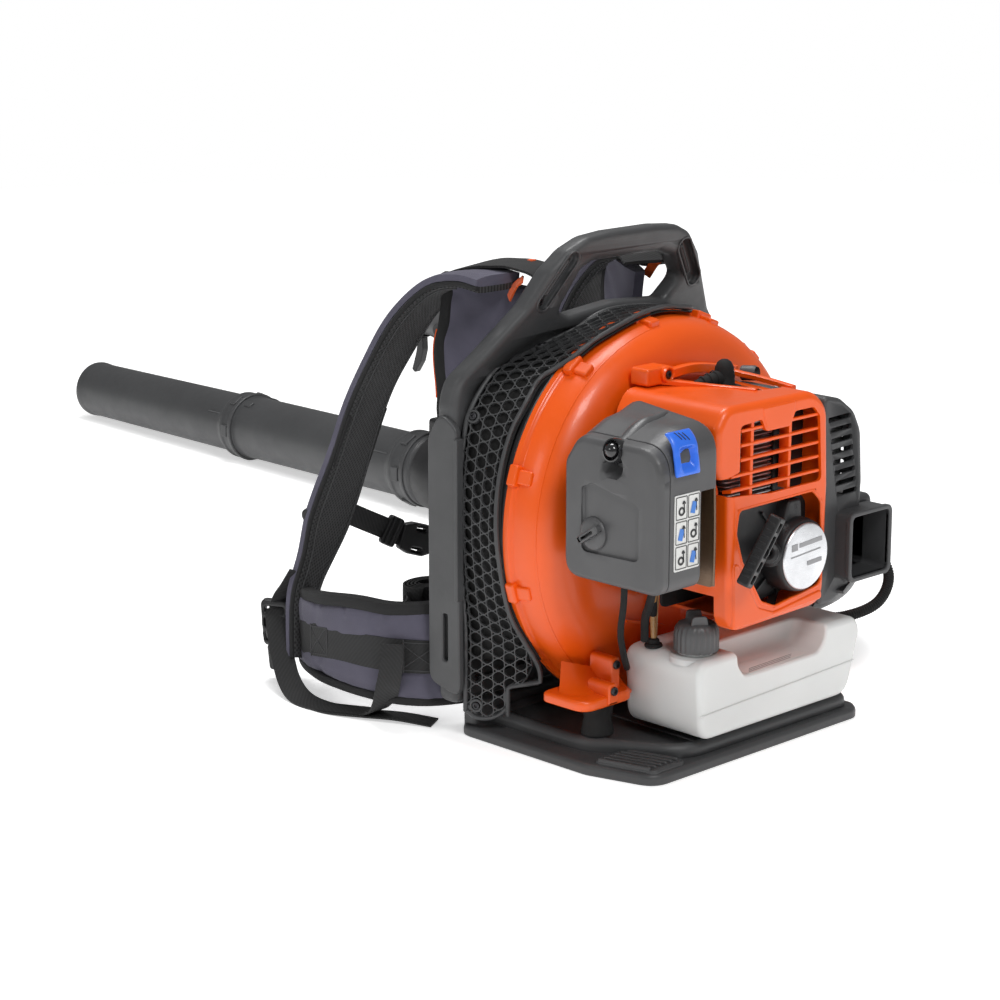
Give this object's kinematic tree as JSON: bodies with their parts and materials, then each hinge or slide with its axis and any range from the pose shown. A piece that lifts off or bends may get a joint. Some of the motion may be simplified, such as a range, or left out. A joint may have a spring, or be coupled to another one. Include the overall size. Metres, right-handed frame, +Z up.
{
  "type": "backpack leaf blower",
  "caption": "Petrol backpack blower with scroll fan housing, side air filter, recoil starter, moulded tank, carry frame, padded harness and jointed blow tube with a trigger grip.",
  "frame": {"origin": "centre of the base tray's flat underside", "axes": "+Z up, +Y ahead of the wearer (harness side), -Y the engine side, +X the wearer's right, where the blow tube lies"},
  "size_m": [0.7597, 1.8714, 0.522],
  "materials": {
    "orange_plastic": "satin orange moulding",
    "dark_plastic": "fine-textured dark grey moulding",
    "mid_plastic": "satin grey moulding",
    "black_plastic": "fine-textured black moulding",
    "rubber": "matt black rubber",
    "blue_plastic": "satin blue moulding",
    "tank_plastic": "milky translucent polyethylene",
    "steel": "ground steel",
    "alloy": "cast alloy",
    "shield": "heat-darkened sheet",
    "fabric": "woven purple-grey nylon",
    "mesh_fabric": "black spacer mesh",
    "webbing": "black woven webbing",
    "fuel_hose": "clear amber hose",
    "label_foil": "brushed foil disc",
    "filter_paper": "pleated filter medium",
    "porcelain": "glazed insulator",
    "red_plastic": "satin red moulding"
  },
  "bodies": {
    "unit": {"base_tray": "dark_plastic", "back_frame": "dark_plastic", "intake_screen": "black_plastic", "fan_housing_rear": "black_plastic", "fan_housing_front": "orange_plastic", "crankcase": "alloy", "engine_cylinder": "alloy", "spark_plug": "porcelain", "spark_plug_boot": "rubber", "ignition_coil": "black_plastic", "carburettor": "alloy", "muffler": "steel", "muffler_cover": "dark_plastic", "heat_shield": "shield", "engine_cover": "orange_plastic", "starter_housing": "black_plastic", "starter_post": "steel", "starter_label": "label_foil", "air_filter_base": "mid_plastic", "air_filter_element": "filter_paper", "fuel_tank": "tank_plastic", "tank_grommet": "rubber", "fuel_line": "fuel_hose", "damper_left": "rubber", "damper_right": "rubber", "elbow": "black_plastic", "hose_rear": "rubber", "conduit_rear": "rubber", "back_pad": "fabric", "strap_left": "mesh_fabric", "strap_right": "mesh_fabric", "belt_left": "fabric", "belt_right": "fabric", "sternum_strap": "webbing", "sternum_buckle": "black_plastic", "belt_buckle": "black_plastic"},
    "rotor": {"impeller": "black_plastic", "crankshaft": "steel", "flywheel": "alloy"},
    "recoil_pulley": {"starter_pulley": "black_plastic"},
    "pull_handle": {"starter_handle": "black_plastic", "starter_rope": "webbing"},
    "filter_lid": {"air_filter_cover": "mid_plastic"},
    "lid_knob": {"cover_knob": "black_plastic"},
    "primer": {"purge_bulb": "rubber"},
    "choke": {"choke_lever": "blue_plastic"},
    "tank_cap": {"fuel_cap": "dark_plastic"},
    "hose_swing": {"hose_mid": "rubber"},
    "blow_tube": {"hose_front": "rubber", "control_tube": "dark_plastic", "intermediate_tube": "dark_plastic", "conduit_front": "rubber"},
    "nozzle": {"nozzle_tube": "dark_plastic"},
    "hand_grip": {"handle_clamp": "black_plastic", "control_handle": "mid_plastic"},
    "trigger": {"throttle_trigger": "black_plastic"},
    "cruise": {"cruise_lever": "black_plastic"},
    "stop_button": {"stop_switch": "red_plastic"}
  },
  "joints": [
    {"name": "rotor_spin", "type": "hinge", "parent": "unit", "child": "rotor", "pos_m": [0.04, 0, 0.205], "axis": [0, 1, 0], "continuous": true},
    {"name": "starter_pull", "type": "slide", "parent": "unit", "child": "pull_handle", "axis": [-0.8186, -0.4988, 0.2849], "range_m": [0, 0.5], "stiffness_N_per_m": 20, "springref_m": -0.4},
    {"name": "recoil_turn", "type": "hinge", "parent": "unit", "child": "recoil_pulley", "pos_m": [0.04, -0.141, 0.205], "axis": [0, -1, 0], "range_deg": [0, 1500]},
    {"name": "filter_lid_off", "type": "slide", "parent": "unit", "child": "filter_lid", "axis": [-1, 0, 0], "range_m": [0, 0.06]},
    {"name": "lid_knob_turn", "type": "hinge", "parent": "filter_lid", "child": "lid_knob", "pos_m": [-0.18, -0.072, 0.25], "axis": [-1, 0, 0], "range_deg": [0, 720]},
    {"name": "primer_press", "type": "slide", "parent": "filter_lid", "child": "primer", "axis": [1, 0, 0], "range_m": [0, 0.004], "stiffness_N_per_m": 800},
    {"name": "choke_turn", "type": "hinge", "parent": "unit", "child": "choke", "pos_m": [-0.146, -0.138, 0.34], "axis": [-1, 0, 0], "range_deg": [0, 35]},
    {"name": "tank_cap_off", "type": "slide", "parent": "unit", "child": "tank_cap", "axis": [0, 0, 1], "range_m": [0, 0.02]},
    {"name": "tube_yaw", "type": "hinge", "parent": "unit", "child": "hose_swing", "pos_m": [0.41, 0.232, 0.078], "axis": [0, 0, 1], "range_deg": [-20, 20]},
    {"name": "tube_pitch", "type": "hinge", "parent": "hose_swing", "child": "blow_tube", "pos_m": [0.436, 0.322, 0.066], "axis": [1, 0, 0], "range_deg": [-20, 20]},
    {"name": "nozzle_twist", "type": "hinge", "parent": "blow_tube", "child": "nozzle", "pos_m": [0.49274, 1.27098, 0.04849], "axis": [0.0474, 0.9988, -0.0111], "range_deg": [0, 30]},
    {"name": "grip_turn", "type": "hinge", "parent": "blow_tube", "child": "hand_grip", "pos_m": [0.47138, 0.82052, 0.05348], "axis": [0.0474, 0.9988, -0.0111], "range_deg": [-15, 15]},
    {"name": "trigger_pull", "type": "hinge", "parent": "hand_grip", "child": "trigger", "pos_m": [0.47138, 0.86852, 0.236], "axis": [-1, 0, 0], "range_deg": [0, 16], "stiffness_Nm_per_rad": 0.4, "springref_deg": -17.19},
    {"name": "cruise_set", "type": "hinge", "parent": "hand_grip", "child": "cruise", "pos_m": [0.44938, 0.81452, 0.258], "axis": [1, 0, 0], "range_deg": [0, 60]},
    {"name": "stop_press", "type": "slide", "parent": "hand_grip", "child": "stop_button", "axis": [0, 0, -1], "range_m": [0, 0.003], "stiffness_N_per_m": 400, "springref_m": -0.001}
  ],
  "couplings": [
    {"joint": "recoil_turn", "follows": "starter_pull", "rad_per_m": 50}
  ]
}
